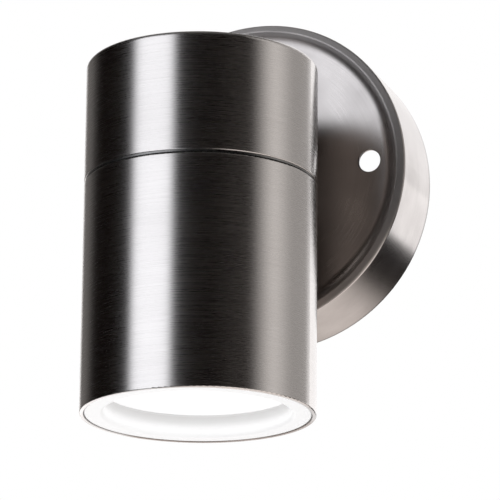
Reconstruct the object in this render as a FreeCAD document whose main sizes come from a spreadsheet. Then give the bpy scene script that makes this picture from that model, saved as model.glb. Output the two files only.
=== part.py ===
import FreeCAD, Part
import math
import os
import re

import Sketcher

# Tube wall light: a tube in two lengths stands on a short arm in front of a round pressed wall plate and shines
# down. The lower length unscrews to reach a twist-lock reflector lamp.
#
# Frame, in millimetres: the wall is the plane y = 0, the light stands on its -Y side, +Z is up, and the origin is
# the centre of the wall plate's back. The tube's axis is the vertical line x = 0, y = -axis_to_wall.

DIMENSIONS = (
    # The tube, seen from outside.
    ("tube_radius", 30.0),
    ("housing_wall", 1.0),
    ("tube_height", 92.6),
    ("tube_top", 18.2),
    ("upper_height", 31.4),
    ("top_edge_round", 1.2),
    ("edge_round", 0.3),
    ("axis_to_wall", 60.0),
    # The pressed wall plate.
    ("rim_radius", 42.5),
    ("lip_radius", 42.8),
    ("lip_width", 2.0),
    ("lip_drop", 0.9),
    ("lip_slope", 2.4),
    ("plate_depth", 23.5),
    ("face_depth", 21.5),
    ("lip_round", 0.9),
    ("ridge_round", 0.4),
    ("face_round", 4.0),
    ("plate_sheet", 0.8),
    ("fixing_spacing", 65.0),
    ("fixing_hole_radius", 3.0),
    ("fixing_hole_rise", 1.5),
    ("fixing_hole_round", 0.3),
    # The rubber ring between the plate's rim and the wall.
    ("wall_gasket_flange", 0.4),
    ("wall_gasket_lip", 2.6),
    ("wall_gasket_inset", 0.2),
    ("wall_gasket_width", 3.1),
    # The arm: a spacer between plate and tube, drawn tight by a hollow threaded nipple.
    ("arm_seal_radius", 12.5),
    ("arm_seal_thickness", 0.8),
    ("spacer_foot_radius", 13.0),
    ("spacer_foot_height", 1.5),
    ("spacer_radius", 11.0),
    ("nipple_radius", 5.0),
    ("nipple_bore_radius", 3.6),
    ("nipple_end", 1.0),
    ("nipple_clearance", 0.2),
    ("saddle_thickness", 2.0),
    ("washer_radius", 8.0),
    ("washer_thickness", 0.8),
    ("washer_notch_radius", 0.6),
    ("washer_notches", 8),
    ("nut_flats", 14.0),
    ("nut_thickness", 3.0),
    ("nut_bevel", 0.6),
    ("bush_flange_radius", 4.8),
    ("bush_flange_thickness", 0.8),
    ("bush_radius", 3.5),
    ("bush_bore_radius", 2.95),
    ("bush_length", 5.0),
    # The strip behind the plate's face, with the terminal block and the earth screw.
    ("strip_sheet", 1.2),
    ("strip_width", 14.0),
    ("strip_flat", 10.0),
    ("strip_joggle", 3.0),
    ("strip_top", 24.0),
    ("strip_bottom", 27.0),
    ("block_width", 28.5),
    ("block_length", 11.5),
    ("block_height", 11.5),
    ("block_drop", 20.25),
    ("block_floor", 4.0),
    ("pole_pitch", 9.5),
    ("pole_slot_width", 4.0),
    ("pole_axis_height", 7.0),
    ("pole_bore_radius", 2.1),
    ("clamp_radius", 2.0),
    ("clamp_bore_radius", 1.35),
    ("clamp_inset", 0.5),
    ("clamp_screw_offset", 3.0),
    ("clamp_screw_radius", 1.2),
    ("clamp_screw_head_radius", 1.6),
    ("clamp_screw_head_height", 1.2),
    ("clamp_screw_inset", 0.2),
    ("screw_well_radius", 1.75),
    ("block_screw_radius", 1.0),
    ("block_screw_head_radius", 1.8),
    ("block_screw_head_height", 1.5),
    ("screw_clearance", 0.05),
    ("screw_run_through", 1.2),
    ("earth_rise", 18.0),
    ("earth_screw_radius", 1.95),
    ("earth_screw_head_radius", 3.5),
    ("earth_screw_head_height", 2.4),
    ("earth_screw_run_through", 2.2),
    ("tag_radius", 4.2),
    ("tag_sheet", 0.8),
    ("tag_barrel_radius", 1.6),
    ("tag_barrel_bore_radius", 1.05),
    ("tag_barrel_length", 6.0),
    # The wires and their routes.
    ("wire_radius", 1.0),
    ("wire_offset", 1.7),
    ("wire_run_in", 6.5),
    ("wire_drop", 9.0),
    ("wire_end_depth", 4.0),
    ("earth_wire_start", 1.2),
    ("earth_wire_reach", 6.5),
    ("earth_wire_bulge", 1.0),
    ("earth_wire_rise", 1.5),
    # The screw joint between the two lengths of the tube.
    ("collar_height", 4.8),
    ("collar_bore_radius", 25.7),
    ("collar_chamfer", 0.4),
    ("flange_inset", 0.3),
    ("flange_thickness", 0.5),
    ("seam_clearance", 0.3),
    ("thread_radius", 27.2),
    ("thread_clearance", 0.06),
    ("thread_pitch", 1.5),
    ("thread_turns", 3.0),
    ("ring_clearance", 0.3),
    ("seal_gap", 0.15),
    ("slip_washer_thickness", 0.6),
    ("insert_run_out", 1.5),
    # The lens and its moulded ring in the tube's mouth.
    ("bezel_gap", 0.25),
    ("bezel_inset", 0.2),
    ("bezel_relief", 3.0),
    ("bezel_height", 12.0),
    ("aperture_radius", 23.7),
    ("aperture_round", 1.2),
    ("lens_recess", 6.0),
    ("lens_radius", 26.5),
    ("lens_clearance", 0.3),
    ("lens_thickness", 3.0),
    ("lens_chamfer", 0.4),
    ("lens_gasket_thickness", 0.6),
    ("clip_thickness", 1.2),
    ("clip_inner_radius", 25.2),
    ("clip_groove_depth", 0.6),
    ("clip_clearance", 0.1),
    ("clip_angle", 345.0),
    # The lamp: 50 mm across, with two headed pins 10 mm apart.
    ("lamp_gap", 4.9),
    ("lamp_length", 46.5),
    ("lamp_radius", 25.0),
    ("lamp_wall", 1.5),
    ("lamp_skirt", 10.0),
    ("lamp_throat", 3.0),
    ("lamp_flare_round", 8.0),
    ("lamp_neck_radius", 13.0),
    ("lamp_base_height", 9.0),
    ("lamp_base_radius", 11.0),
    ("lamp_base_slope", 3.0),
    ("lamp_spigot", 4.0),
    ("lamp_lens_thickness", 1.8),
    ("board_depth", 7.0),
    ("board_thickness", 1.6),
    ("chip_circle_radius", 12.0),
    ("chip_width", 3.0),
    ("chip_thickness", 0.8),
    ("chip_count", 8),
    ("pin_circle_radius", 5.0),
    ("pin_radius", 1.5),
    ("pin_head_radius", 2.5),
    ("pin_neck", 4.0),
    ("pin_length", 7.0),
    ("pin_round", 0.5),
    # The lampholder and the bracket that hangs it from the closed top.
    ("holder_gap", 0.3),
    ("holder_radius", 13.5),
    ("holder_base_height", 11.0),
    ("holder_cover_height", 4.0),
    ("holder_floor", 3.2),
    ("holder_edge_round", 0.8),
    ("slot_clearance", 0.35),
    ("entry_clearance", 0.4),
    ("cavity_clearance", 0.5),
    ("lock_angle", 45.0),
    ("contact_gap", 0.3),
    ("contact_thickness", 0.5),
    ("contact_angle", 40.0),
    ("contact_half_width", 2.0),
    ("contact_tail_radius", 1.6),
    ("wire_hole_clearance", 0.25),
    ("holder_screw_spacing", 20.4),
    ("holder_screw_radius", 1.5),
    ("holder_screw_head_radius", 2.8),
    ("holder_screw_head_height", 1.8),
    ("holder_screw_length", 10.0),
    ("holder_screw_clearance", 0.1),
    ("bracket_sheet", 1.2),
    ("bracket_width", 16.0),
    ("bracket_half_span", 14.0),
    ("bracket_foot", 6.8),
    ("bracket_bend", 0.6),
    ("bracket_window_radius", 7.0),
)

# Places worked out from the dimensions, as expressions for the sheet. Levels are along z.
TUBE_BOTTOM = "(tube_top - tube_height)"
TUBE_BORE = "(tube_radius - housing_wall)"
CAP = "(tube_top - housing_wall)"
UPPER_EDGE = "(tube_top - upper_height)"
FLANGE_UNDER = f"({UPPER_EDGE} - flange_thickness)"
LOWER_EDGE = f"({FLANGE_UNDER} - seam_clearance)"
RING_INNER = "(thread_radius + ring_clearance)"
RING_OUTER = f"({TUBE_BORE} - ring_clearance)"
SEAL_RADIUS = f"(({RING_OUTER} - {RING_INNER}) / 2)"
SLIP_TOP = f"({FLANGE_UNDER} - 2 * seal_gap - 2 * {SEAL_RADIUS})"
INSERT_TOP = f"({SLIP_TOP} - slip_washer_thickness)"
THREAD_TRAVEL = "(thread_pitch * thread_turns)"
COLLAR_BOTTOM = f"({INSERT_TOP} - {THREAD_TRAVEL})"
BEZEL_FACE = f"({TUBE_BOTTOM} + bezel_inset)"
LENS_SEAT = "(lens_radius + lens_clearance)"
LENS_FACE = f"({TUBE_BOTTOM} + lens_recess)"
LENS_SHELF = f"({LENS_FACE} - lens_gasket_thickness)"
LENS_TOP = f"({LENS_FACE} + lens_thickness)"
CLIP_TOP = f"({LENS_TOP} + clip_thickness)"
LAMP_FACE = f"({LENS_TOP} + lamp_gap)"
LAMP_SHOULDER = f"({LAMP_FACE} + lamp_length)"
LAMP_NECK = f"({LAMP_SHOULDER} - lamp_base_height)"
BOARD_LEVEL = f"({LAMP_FACE} + board_depth)"
HOLDER_BOTTOM = f"({LAMP_SHOULDER} + holder_gap)"
HOLDER_SPLIT = f"({HOLDER_BOTTOM} + holder_base_height)"
HOLDER_TOP = f"({HOLDER_SPLIT} + holder_cover_height)"
BRACKET_TOP = f"({HOLDER_TOP} + bracket_sheet)"
CONTACT_LEVEL = f"({LAMP_SHOULDER} + pin_length + contact_gap)"
TAIL_Y = "sqrt(pin_circle_radius ^ 2 - wire_offset ^ 2)"
WIRE_END = "-block_drop + block_length / 2 - wire_end_depth"

# Distances from the wall plane, along -y.
LIP_FRONT = "(lip_drop - plate_depth)"
PLATE_BACK = "(face_depth - plate_sheet)"
STRIP_BACK = f"({PLATE_BACK} - strip_sheet)"
PLATE_NUT = f"({STRIP_BACK} - washer_thickness)"
NIPPLE_BACK = f"({PLATE_NUT} - nut_thickness - nipple_end)"
SEAT_BACK = f"({STRIP_BACK} - strip_joggle)"
POLE_AXIS = f"({SEAT_BACK} - pole_axis_height)"
BLOCK_BACK = f"({SEAT_BACK} - block_height)"
SPACER_BACK = "(face_depth + arm_seal_thickness)"
TUBE_BACK = "(axis_to_wall - tube_radius)"
SADDLE_FRONT = f"({TUBE_BACK} + housing_wall + saddle_thickness)"
HOUSING_NUT = f"({SADDLE_FRONT} + washer_thickness)"
NIPPLE_FRONT = f"({HOUSING_NUT} + nut_thickness + nipple_end)"
TAG_BACK = f"({SEAT_BACK} - tag_sheet)"

SHEET_FUNCTIONS = {"sqrt", "sin", "cos"}

doc = FreeCAD.newDocument("tube_wall_light")
dims = doc.addObject("Spreadsheet::Sheet", "dims")
for row, (name, number) in enumerate(DIMENSIONS, start=1):
    dims.set(f"A{row}", name)
    dims.set(f"B{row}", repr(number))
    dims.setAlias(f"B{row}", name)
doc.recompute()


def cell(text):
    """Point every dimension named in an expression at its cell in the sheet."""

    def refer(match):
        word = match.group()
        return word if word in SHEET_FUNCTIONS else f"dims.{word}"

    return re.sub(r"[a-z][a-z_]{2,}", refer, text)


def number(text):
    """The value of an expression, in millimetres or degrees."""
    return float(dims.evalExpression(cell(text).replace("dims.", "")))


def bind(thing, prop, text):
    thing.setExpression(prop, cell(text))


# Building blocks -----------------------------------------------------------------------------------------------

parts = []


def new_body(name, on_tube_axis=False):
    """A sub-part whose own z axis is either the arm's origin or the tube's axis."""
    body = doc.addObject("PartDesign::Body", name)
    body.Label = name
    if on_tube_axis:
        bind(body, "Placement.Base.y", "-axis_to_wall")
    parts.append(body)
    return body


def new_sketch(body, name, plane, level=None):
    """A sketch on one of the body's own planes. On XZ the level counts along -y."""
    sketch = body.newObject("Sketcher::SketchObject", f"{body.Name}_{name}_sketch")
    role = f"{plane}_Plane"
    support = next(f for f in body.Origin.OriginFeatures if f.Role == role)
    sketch.AttachmentSupport = [(support, "")]
    sketch.MapMode = "FlatFace"
    if level is not None:
        bind(sketch, "AttachmentOffset.Base.z", level)
    return sketch


def place(sketch, geometry, point, x, y):
    """Hold a point of the sketch at x, y from the sketch's origin."""
    for kind, text in (("DistanceX", x), ("DistanceY", y)):
        row = sketch.addConstraint(Sketcher.Constraint(kind, -1, 1, geometry, point, number(text)))
        bind(sketch, f"Constraints[{row}]", text)


def draw_outline(sketch, points):
    """A closed outline of straight lines through the given points."""
    first = sketch.GeometryCount
    corners = [FreeCAD.Vector(number(x), number(y), 0) for x, y in points]
    for start, end in zip(corners, corners[1:] + corners[:1]):
        sketch.addGeometry(Part.LineSegment(start, end), False)
    count = len(points)
    for side, (x, y) in enumerate(points):
        following = first + (side + 1) % count
        sketch.addConstraint(Sketcher.Constraint("Coincident", first + side, 2, following, 1))
        place(sketch, first + side, 1, x, y)


def draw_rectangle(sketch, left, right, low, high):
    draw_outline(sketch, [(left, low), (right, low), (right, high), (left, high)])


def draw_circle(sketch, x, y, radius):
    centre = FreeCAD.Vector(number(x), number(y), 0)
    circle = sketch.addGeometry(Part.Circle(centre, FreeCAD.Vector(0, 0, 1), number(radius)), False)
    place(sketch, circle, 3, x, y)
    row = sketch.addConstraint(Sketcher.Constraint("Radius", circle, number(radius)))
    bind(sketch, f"Constraints[{row}]", radius)


def volume(body):
    return body.Shape.Volume if body.Tip else 0.0


def add_feature(body, kind, name, settings, cuts=False):
    """Add a feature, compute it, and see that it adds or removes material as it should."""
    before = volume(body)
    feature = body.newObject(f"PartDesign::{kind}", f"{body.Name}_{name}")
    for prop, value in settings.items():
        if isinstance(value, str):
            bind(feature, prop, value)
        else:
            setattr(feature, prop, value)
    body.Tip = feature
    doc.recompute()
    if cuts and not volume(body) < before - 1e-6:
        raise RuntimeError(f"{feature.Name} removes nothing")
    return feature


def revolve(body, name, plane, points, angle="360", reach=None):
    """Turn an outline about the sketch's vertical axis: z for a sketch on XZ or YZ, y for one on XY."""
    sketch = new_sketch(body, name, plane)
    draw_outline(sketch, points)
    settings = {"Profile": sketch, "ReferenceAxis": (sketch, ["V_Axis"]), "Angle": angle}
    settings.update(reach or {})
    return add_feature(body, "Revolution", name, settings)


def pad(body, name, sketch, length, **settings):
    return add_feature(body, "Pad", name, {"Profile": sketch, "Length": length, **settings})


def pocket(body, name, sketch, length=None, **settings):
    """Cut a sketch into the body, through all of it both ways unless a depth is given."""
    if length is None:
        depth = {"Type": 1, "Midplane": True}
    else:
        depth = {"Length": length}
    return add_feature(body, "Pocket", name, {"Profile": sketch, **depth, **settings}, cuts=True)


def edges_where(shape, test):
    return [f"Edge{row}" for row, edge in enumerate(shape.Edges, start=1) if test(edge)]


def ring_edges(shape, axis, rings):
    """Names of the full or part circles with a given radius at a given level along an axis."""
    wanted = [(number(radius), number(level)) for radius, level in rings]

    def fits(edge):
        curve = edge.Curve
        if not isinstance(curve, Part.Circle):
            return False
        level = getattr(curve.Center, axis)
        return any(abs(curve.Radius - r) < 1e-4 and abs(level - at) < 1e-4 for r, at in wanted)

    return edges_where(shape, fits)


def straight_edges(shape, axis, places):
    """Names of the straight edges along an axis that pass through given places across it."""
    across = [a for a in "xyz" if a != axis]
    wanted = [[number(text) for text in place] for place in places]

    def fits(edge):
        if not isinstance(edge.Curve, Part.Line) or abs(abs(getattr(edge.Curve.Direction, axis)) - 1) > 1e-6:
            return False
        at = edge.Vertexes[0].Point
        found = [getattr(at, a) for a in across]
        return any(all(abs(f - w) < 1e-4 for f, w in zip(found, spot)) for spot in wanted)

    return edges_where(shape, fits)


def round_edges(body, name, edges, radius, kind="Fillet"):
    if not edges:
        raise RuntimeError(f"{body.Name}: no edge found for {name}")
    size = {"Radius": radius} if kind == "Fillet" else {"Size": radius}
    return add_feature(body, kind, name, {"Base": (body.Tip, edges), **size})


def shell(body, name, axis, levels, thickness):
    """Hollow the body to an even wall, leaving it open at flat faces that lie at the given levels."""
    heights = [number(level) for level in levels]
    shape = body.Tip.Shape
    open_faces = [
        f"Face{row}"
        for row, face in enumerate(shape.Faces, start=1)
        if isinstance(face.Surface, Part.Plane)
        and any(abs(getattr(face.CenterOfMass, axis) - height) < 1e-4 for height in heights)
    ]
    settings = {"Base": (body.Tip, open_faces), "Value": thickness, "Reversed": True}
    return add_feature(body, "Thickness", name, settings, cuts=True)


def repeat_round(body, name, originals, count):
    """Repeat features about the body's own z axis."""
    axis = next(f for f in body.Origin.OriginFeatures if f.Role == "Z_Axis")
    settings = {"Originals": originals, "Axis": (axis, [""]), "Angle": "360", "Occurrences": count}
    return add_feature(body, "PolarPattern", name, settings)


def ring(name, inner, outer, low, high, on_tube_axis=True):
    """A plain ring: about z at levels, or about the arm's axis between two distances from the wall."""
    body = new_body(name, on_tube_axis)
    plane = "XZ" if on_tube_axis else "XY"
    first, second = (low, high) if on_tube_axis else (f"-{low}", f"-{high}")
    revolve(body, "ring", plane, [(inner, first), (outer, first), (outer, second), (inner, second)])
    return body


# Wall plate and arm ---------------------------------------------------------------------------------------------


def make_wall_plate():
    """A dish pressed from sheet: flat face, raised ridge, sloping lip and a nearly straight flank to the rim."""
    body = new_body("wall_plate")
    rim = "-wall_gasket_flange"
    lip_inner = "lip_radius - lip_width"
    face_edge = f"{lip_inner} - lip_slope"
    outline = [
        ("0", rim),
        ("rim_radius", rim),
        ("lip_radius", LIP_FRONT),
        (lip_inner, "-plate_depth"),
        (face_edge, "-face_depth"),
        ("0", "-face_depth"),
    ]
    revolve(body, "dish", "XY", outline)
    crest = ring_edges(body.Tip.Shape, "y", [("lip_radius", LIP_FRONT)])
    round_edges(body, "lip_round", crest, "lip_round")
    corner = ring_edges(body.Tip.Shape, "y", [(face_edge, "-face_depth")])
    round_edges(body, "face_round", corner, "face_round")
    shell(body, "sheet", "y", [rim], "plate_sheet")
    ridge = ring_edges(body.Tip.Shape, "y", [(lip_inner, "-plate_depth")])
    round_edges(body, "ridge_round", ridge, "ridge_round")
    sketch = new_sketch(body, "holes", "XZ")
    draw_circle(sketch, "0", "0", "nipple_radius + nipple_clearance")
    for side in ("", "-"):
        draw_circle(sketch, f"{side}fixing_spacing / 2", "fixing_hole_rise", "fixing_hole_radius")
    pocket(body, "holes", sketch)
    mouths = ring_edges(body.Tip.Shape, "y", [("fixing_hole_radius", "-face_depth")])
    round_edges(body, "hole_round", mouths, "fixing_hole_round")


def make_wall_gasket():
    """A rubber ring with a thin flange between rim and wall and a lip inside the flank."""
    body = new_body("wall_gasket")
    outer = "rim_radius - wall_gasket_inset"
    step = "rim_radius - plate_sheet - wall_gasket_inset"
    slope = f"(lip_radius - rim_radius) / (0 - {LIP_FRONT} - wall_gasket_flange)"
    inner = f"{step} - wall_gasket_width"
    outline = [
        (inner, "0"),
        (outer, "0"),
        (outer, "-wall_gasket_flange"),
        (step, "-wall_gasket_flange"),
        (f"{step} + {slope} * wall_gasket_lip", "-wall_gasket_flange - wall_gasket_lip"),
        (inner, "-wall_gasket_flange - wall_gasket_lip"),
    ]
    revolve(body, "section", "XY", outline)


def make_arm_seal():
    ring("arm_seal", "nipple_radius + nipple_clearance", "arm_seal_radius", "face_depth", SPACER_BACK, False)


def make_arm_spacer():
    """The short arm: a footed sleeve whose front end is hollowed to sit on the round tube."""
    body = new_body("arm_spacer")
    bore = "nipple_radius + nipple_clearance"
    foot = f"-{SPACER_BACK} - spacer_foot_height"
    front = f"-{TUBE_BACK} - tube_radius / 4"
    outline = [
        (bore, f"-{SPACER_BACK}"),
        ("spacer_foot_radius", f"-{SPACER_BACK}"),
        ("spacer_foot_radius", foot),
        ("spacer_radius", f"{foot} - spacer_foot_radius + spacer_radius"),
        ("spacer_radius", front),
        (bore, front),
    ]
    revolve(body, "sleeve", "XY", outline)
    sketch = new_sketch(body, "saddle", "XY")
    draw_circle(sketch, "0", "-axis_to_wall", "tube_radius")
    pocket(body, "saddle", sketch)


def make_nipple():
    ring("nipple", "nipple_bore_radius", "nipple_radius", NIPPLE_BACK, NIPPLE_FRONT, False)


def make_nipple_bushes():
    """Two plastic bushes that keep the wires off the nipple's ends."""
    body = new_body("nipple_bushes")
    for name, end, way in (("back", NIPPLE_BACK, "-"), ("front", NIPPLE_FRONT, "+")):
        out = "+" if way == "-" else "-"
        outline = [
            ("bush_bore_radius", f"-{end} {out} bush_flange_thickness"),
            ("bush_flange_radius", f"-{end} {out} bush_flange_thickness"),
            ("bush_flange_radius", f"-{end}"),
            ("bush_radius", f"-{end}"),
            ("bush_radius", f"-{end} {way} bush_length"),
            ("bush_bore_radius", f"-{end} {way} bush_length"),
        ]
        revolve(body, name, "XY", outline)


def make_saddle_washer():
    """Inside the tube: flat for the nut, rounded to the tube's bore on its other side."""
    body = ring(
        "saddle_washer", "nipple_radius + nipple_clearance", "washer_radius", TUBE_BACK, SADDLE_FRONT, False
    )
    sketch = new_sketch(body, "crown", "XY")
    draw_circle(sketch, "0", "-axis_to_wall", TUBE_BORE)
    draw_circle(sketch, "0", "-axis_to_wall", "tube_radius + washer_radius")
    pocket(body, "crown", sketch)


def make_lock_washer(name, back):
    """A toothed washer: a ring with round notches in its rim."""
    body = ring(
        name, "nipple_radius + nipple_clearance", "washer_radius", back, f"({back} + washer_thickness)", False
    )
    sketch = new_sketch(body, "notch", "XZ")
    draw_circle(sketch, "washer_radius", "0", "washer_notch_radius")
    notch = pocket(body, "notch", sketch)
    axis = next(f for f in body.Origin.OriginFeatures if f.Role == "Y_Axis")
    settings = {
        "Originals": [notch],
        "Axis": (axis, [""]),
        "Angle": "360",
        "Occurrences": "washer_notches",
    }
    add_feature(body, "PolarPattern", "notches", settings)


def make_lock_nut(name, back):
    """A thin hexagon nut about the arm's axis, its corners bevelled at both ends."""
    body = new_body(name)
    corner = "nut_flats / sqrt(3)"
    sketch = new_sketch(body, "hexagon", "XZ", back)
    hexagon = [
        (corner, "0"),
        (f"{corner} / 2", "nut_flats / 2"),
        (f"-{corner} / 2", "nut_flats / 2"),
        (f"-{corner}", "0"),
        (f"-{corner} / 2", "-nut_flats / 2"),
        (f"{corner} / 2", "-nut_flats / 2"),
    ]
    draw_outline(sketch, hexagon)
    draw_circle(sketch, "0", "0", "nipple_radius")
    pad(body, "hexagon", sketch, "nut_thickness")
    for end, at, way in (("back", f"-{back}", "-"), ("front", f"-{back} - nut_thickness", "+")):
        bevel = new_sketch(body, f"bevel_{end}", "XY")
        triangle = [
            ("nut_flats / 2", at),
            (f"{corner} + nut_bevel", at),
            (f"{corner} + nut_bevel", f"{at} {way} nut_bevel * 2"),
        ]
        draw_outline(bevel, triangle)
        settings = {"Profile": bevel, "ReferenceAxis": (bevel, ["V_Axis"]), "Angle": "360"}
        add_feature(body, "Groove", f"bevel_{end}", settings, cuts=True)


# Terminal strip -------------------------------------------------------------------------------------------------


def make_terminal_strip():
    """A flat strip under the nipple's nut, joggled clear of the plate at both ends."""
    body = new_body("terminal_strip")
    shift = "strip_sheet * (sqrt(2) - 1)"
    rise = "strip_flat + strip_joggle"
    outline = [
        (f"-{SEAT_BACK} - strip_sheet", "-strip_bottom"),
        (f"-{SEAT_BACK} - strip_sheet", f"-({rise})"),
        (f"-{PLATE_BACK}", "-strip_flat"),
        (f"-{PLATE_BACK}", "strip_flat"),
        (f"-{SEAT_BACK} - strip_sheet", rise),
        (f"-{SEAT_BACK} - strip_sheet", "strip_top"),
        (f"-{SEAT_BACK}", "strip_top"),
        (f"-{SEAT_BACK}", f"{rise} - {shift}"),
        (f"-{STRIP_BACK}", f"strip_flat - {shift}"),
        (f"-{STRIP_BACK}", f"-strip_flat + {shift}"),
        (f"-{SEAT_BACK}", f"-({rise}) + {shift}"),
        (f"-{SEAT_BACK}", "-strip_bottom"),
    ]
    sketch = new_sketch(body, "side", "YZ")
    draw_outline(sketch, outline)
    pad(body, "side", sketch, "strip_width", Midplane=True)
    holes = new_sketch(body, "holes", "XZ")
    draw_circle(holes, "0", "0", "nipple_radius + nipple_clearance")
    draw_circle(holes, "0", "earth_rise", "earth_screw_radius + screw_clearance")
    for side in ("", "-"):
        draw_circle(holes, f"{side}pole_pitch / 2", "-block_drop", "block_screw_radius + screw_clearance")
    pocket(body, "holes", holes)


def make_terminal_block():
    """Three moulded poles side by side on one floor, each with a bore for the wires and two screw wells."""
    body = new_body("terminal_block")
    base = new_sketch(body, "outline", "XZ", SEAT_BACK)
    low = "-block_drop - block_length / 2"
    high = "-block_drop + block_length / 2"
    draw_rectangle(base, "-block_width / 2", "block_width / 2", low, high)
    pad(body, "outline", base, "block_height", Reversed=True)
    slots = new_sketch(body, "slots", "XZ", BLOCK_BACK)
    for side in ("", "-"):
        middle = f"{side}pole_pitch / 2"
        draw_rectangle(
            slots, f"{middle} - pole_slot_width / 2", f"{middle} + pole_slot_width / 2", low, high
        )
    pocket(body, "slots", slots, "block_height - block_floor", Reversed=True)
    bores = new_sketch(body, "bores", "XY")
    wells = new_sketch(body, "wells", "XZ", BLOCK_BACK)
    screws = new_sketch(body, "screws", "XZ")
    for pole in (-1, 0, 1):
        draw_circle(bores, f"{pole} * pole_pitch", f"-{POLE_AXIS}", "pole_bore_radius")
        for side in ("+", "-"):
            level = f"-block_drop {side} clamp_screw_offset"
            draw_circle(wells, f"{pole} * pole_pitch", level, "screw_well_radius")
    for side in ("", "-"):
        draw_circle(screws, f"{side}pole_pitch / 2", "-block_drop", "block_screw_radius + screw_clearance")
    pocket(body, "bores", bores)
    pocket(body, "wells", wells, "block_height - pole_axis_height", Reversed=True)
    pocket(body, "screws", screws)


def make_terminal_clamps():
    """Three brass sleeves in the poles, with a tapped hole under each screw."""
    body = new_body("terminal_clamps")
    length = "block_length - 2 * clamp_inset"
    sketch = new_sketch(body, "sleeves", "XY", "-block_drop")
    holes = new_sketch(body, "holes", "XZ", POLE_AXIS)
    for pole in (-1, 0, 1):
        draw_circle(sketch, f"{pole} * pole_pitch", f"-{POLE_AXIS}", "clamp_radius")
        draw_circle(sketch, f"{pole} * pole_pitch", f"-{POLE_AXIS}", "clamp_bore_radius")
        for side in ("+", "-"):
            level = f"-block_drop {side} clamp_screw_offset"
            draw_circle(holes, f"{pole} * pole_pitch", level, "clamp_screw_radius + screw_clearance")
    pad(body, "sleeves", sketch, length, Midplane=True)
    pocket(body, "holes", holes, "clamp_radius * 2")


def make_terminal_screws():
    """Six slotted clamp screws, two to a pole, tightened on the wires."""
    body = new_body("terminal_screws")
    head = f"({BLOCK_BACK} + clamp_screw_inset)"
    neck = f"({head} + clamp_screw_head_height)"
    tip = f"({POLE_AXIS} - wire_radius - 2 * screw_clearance)"
    heads = new_sketch(body, "heads", "XZ", neck)
    shanks = new_sketch(body, "shanks", "XZ", neck)
    slots = new_sketch(body, "slots", "XZ", head)
    for pole in (-1, 0, 1):
        for side in ("+", "-"):
            at = (f"{pole} * pole_pitch", f"-block_drop {side} clamp_screw_offset")
            draw_circle(heads, *at, "clamp_screw_head_radius")
            draw_circle(shanks, *at, "clamp_screw_radius")
            draw_rectangle(
                slots,
                f"{at[0]} - clamp_screw_head_radius",
                f"{at[0]} + clamp_screw_head_radius",
                f"{at[1]} - clamp_screw_head_radius / 6",
                f"{at[1]} + clamp_screw_head_radius / 6",
            )
    pad(body, "heads", heads, "clamp_screw_head_height", Reversed=True)
    pad(body, "shanks", shanks, f"{tip} - {neck}")
    pocket(body, "slots", slots, "clamp_screw_head_height / 2", Reversed=True)


def make_block_screws():
    """Two small screws that hold the block to the strip, their heads in the slots between the poles."""
    body = new_body("block_screws")
    seat = f"({SEAT_BACK} - block_floor)"
    heads = new_sketch(body, "heads", "XZ", seat)
    shanks = new_sketch(body, "shanks", "XZ", seat)
    for side in ("", "-"):
        draw_circle(heads, f"{side}pole_pitch / 2", "-block_drop", "block_screw_head_radius")
        draw_circle(shanks, f"{side}pole_pitch / 2", "-block_drop", "block_screw_radius")
    pad(body, "heads", heads, "block_screw_head_height", Reversed=True)
    pad(body, "shanks", shanks, "block_floor + strip_sheet + screw_run_through")


def make_earth_screw():
    body = new_body("earth_screw")
    head = new_sketch(body, "head", "XZ", TAG_BACK)
    draw_circle(head, "0", "earth_rise", "earth_screw_head_radius")
    pad(body, "head", head, "earth_screw_head_height", Reversed=True)
    shank = new_sketch(body, "shank", "XZ", TAG_BACK)
    draw_circle(shank, "0", "earth_rise", "earth_screw_radius")
    pad(body, "shank", shank, "tag_sheet + strip_sheet + earth_screw_run_through")
    back = f"({TAG_BACK} - earth_screw_head_height)"
    rim = ring_edges(body.Tip.Shape, "y", [("earth_screw_head_radius", f"-{back}")])
    round_edges(body, "head_round", rim, "earth_screw_head_height / 4")
    slot = new_sketch(body, "slot", "XZ", back)
    width = "earth_screw_head_radius / 8"
    draw_rectangle(
        slot,
        "-earth_screw_head_radius",
        "earth_screw_head_radius",
        f"earth_rise - {width}",
        f"earth_rise + {width}",
    )
    pocket(body, "slot", slot, "earth_screw_head_height / 2", Reversed=True)


def make_earth_tag():
    """A ring tag under the earth screw, with a crimped barrel for the wire at its side."""
    body = new_body("earth_tag")
    eye = new_sketch(body, "eye", "XZ", TAG_BACK)
    draw_circle(eye, "0", "earth_rise", "tag_radius")
    draw_circle(eye, "0", "earth_rise", "earth_screw_radius + screw_clearance")
    pad(body, "eye", eye, "tag_sheet")
    barrel = new_sketch(body, "barrel", "YZ", "tag_radius - tag_sheet / 2")
    axis = f"-({SEAT_BACK} - tag_barrel_radius)"
    draw_circle(barrel, axis, "earth_rise", "tag_barrel_radius")
    pad(body, "barrel", barrel, "tag_barrel_length")
    bore = new_sketch(body, "bore", "YZ", "tag_radius - tag_sheet / 2 + tag_barrel_length")
    draw_circle(bore, axis, "earth_rise", "tag_barrel_bore_radius")
    pocket(body, "bore", bore, "tag_barrel_length - 2 * tag_sheet")


# Tube and its screw joint ---------------------------------------------------------------------------------------


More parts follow.
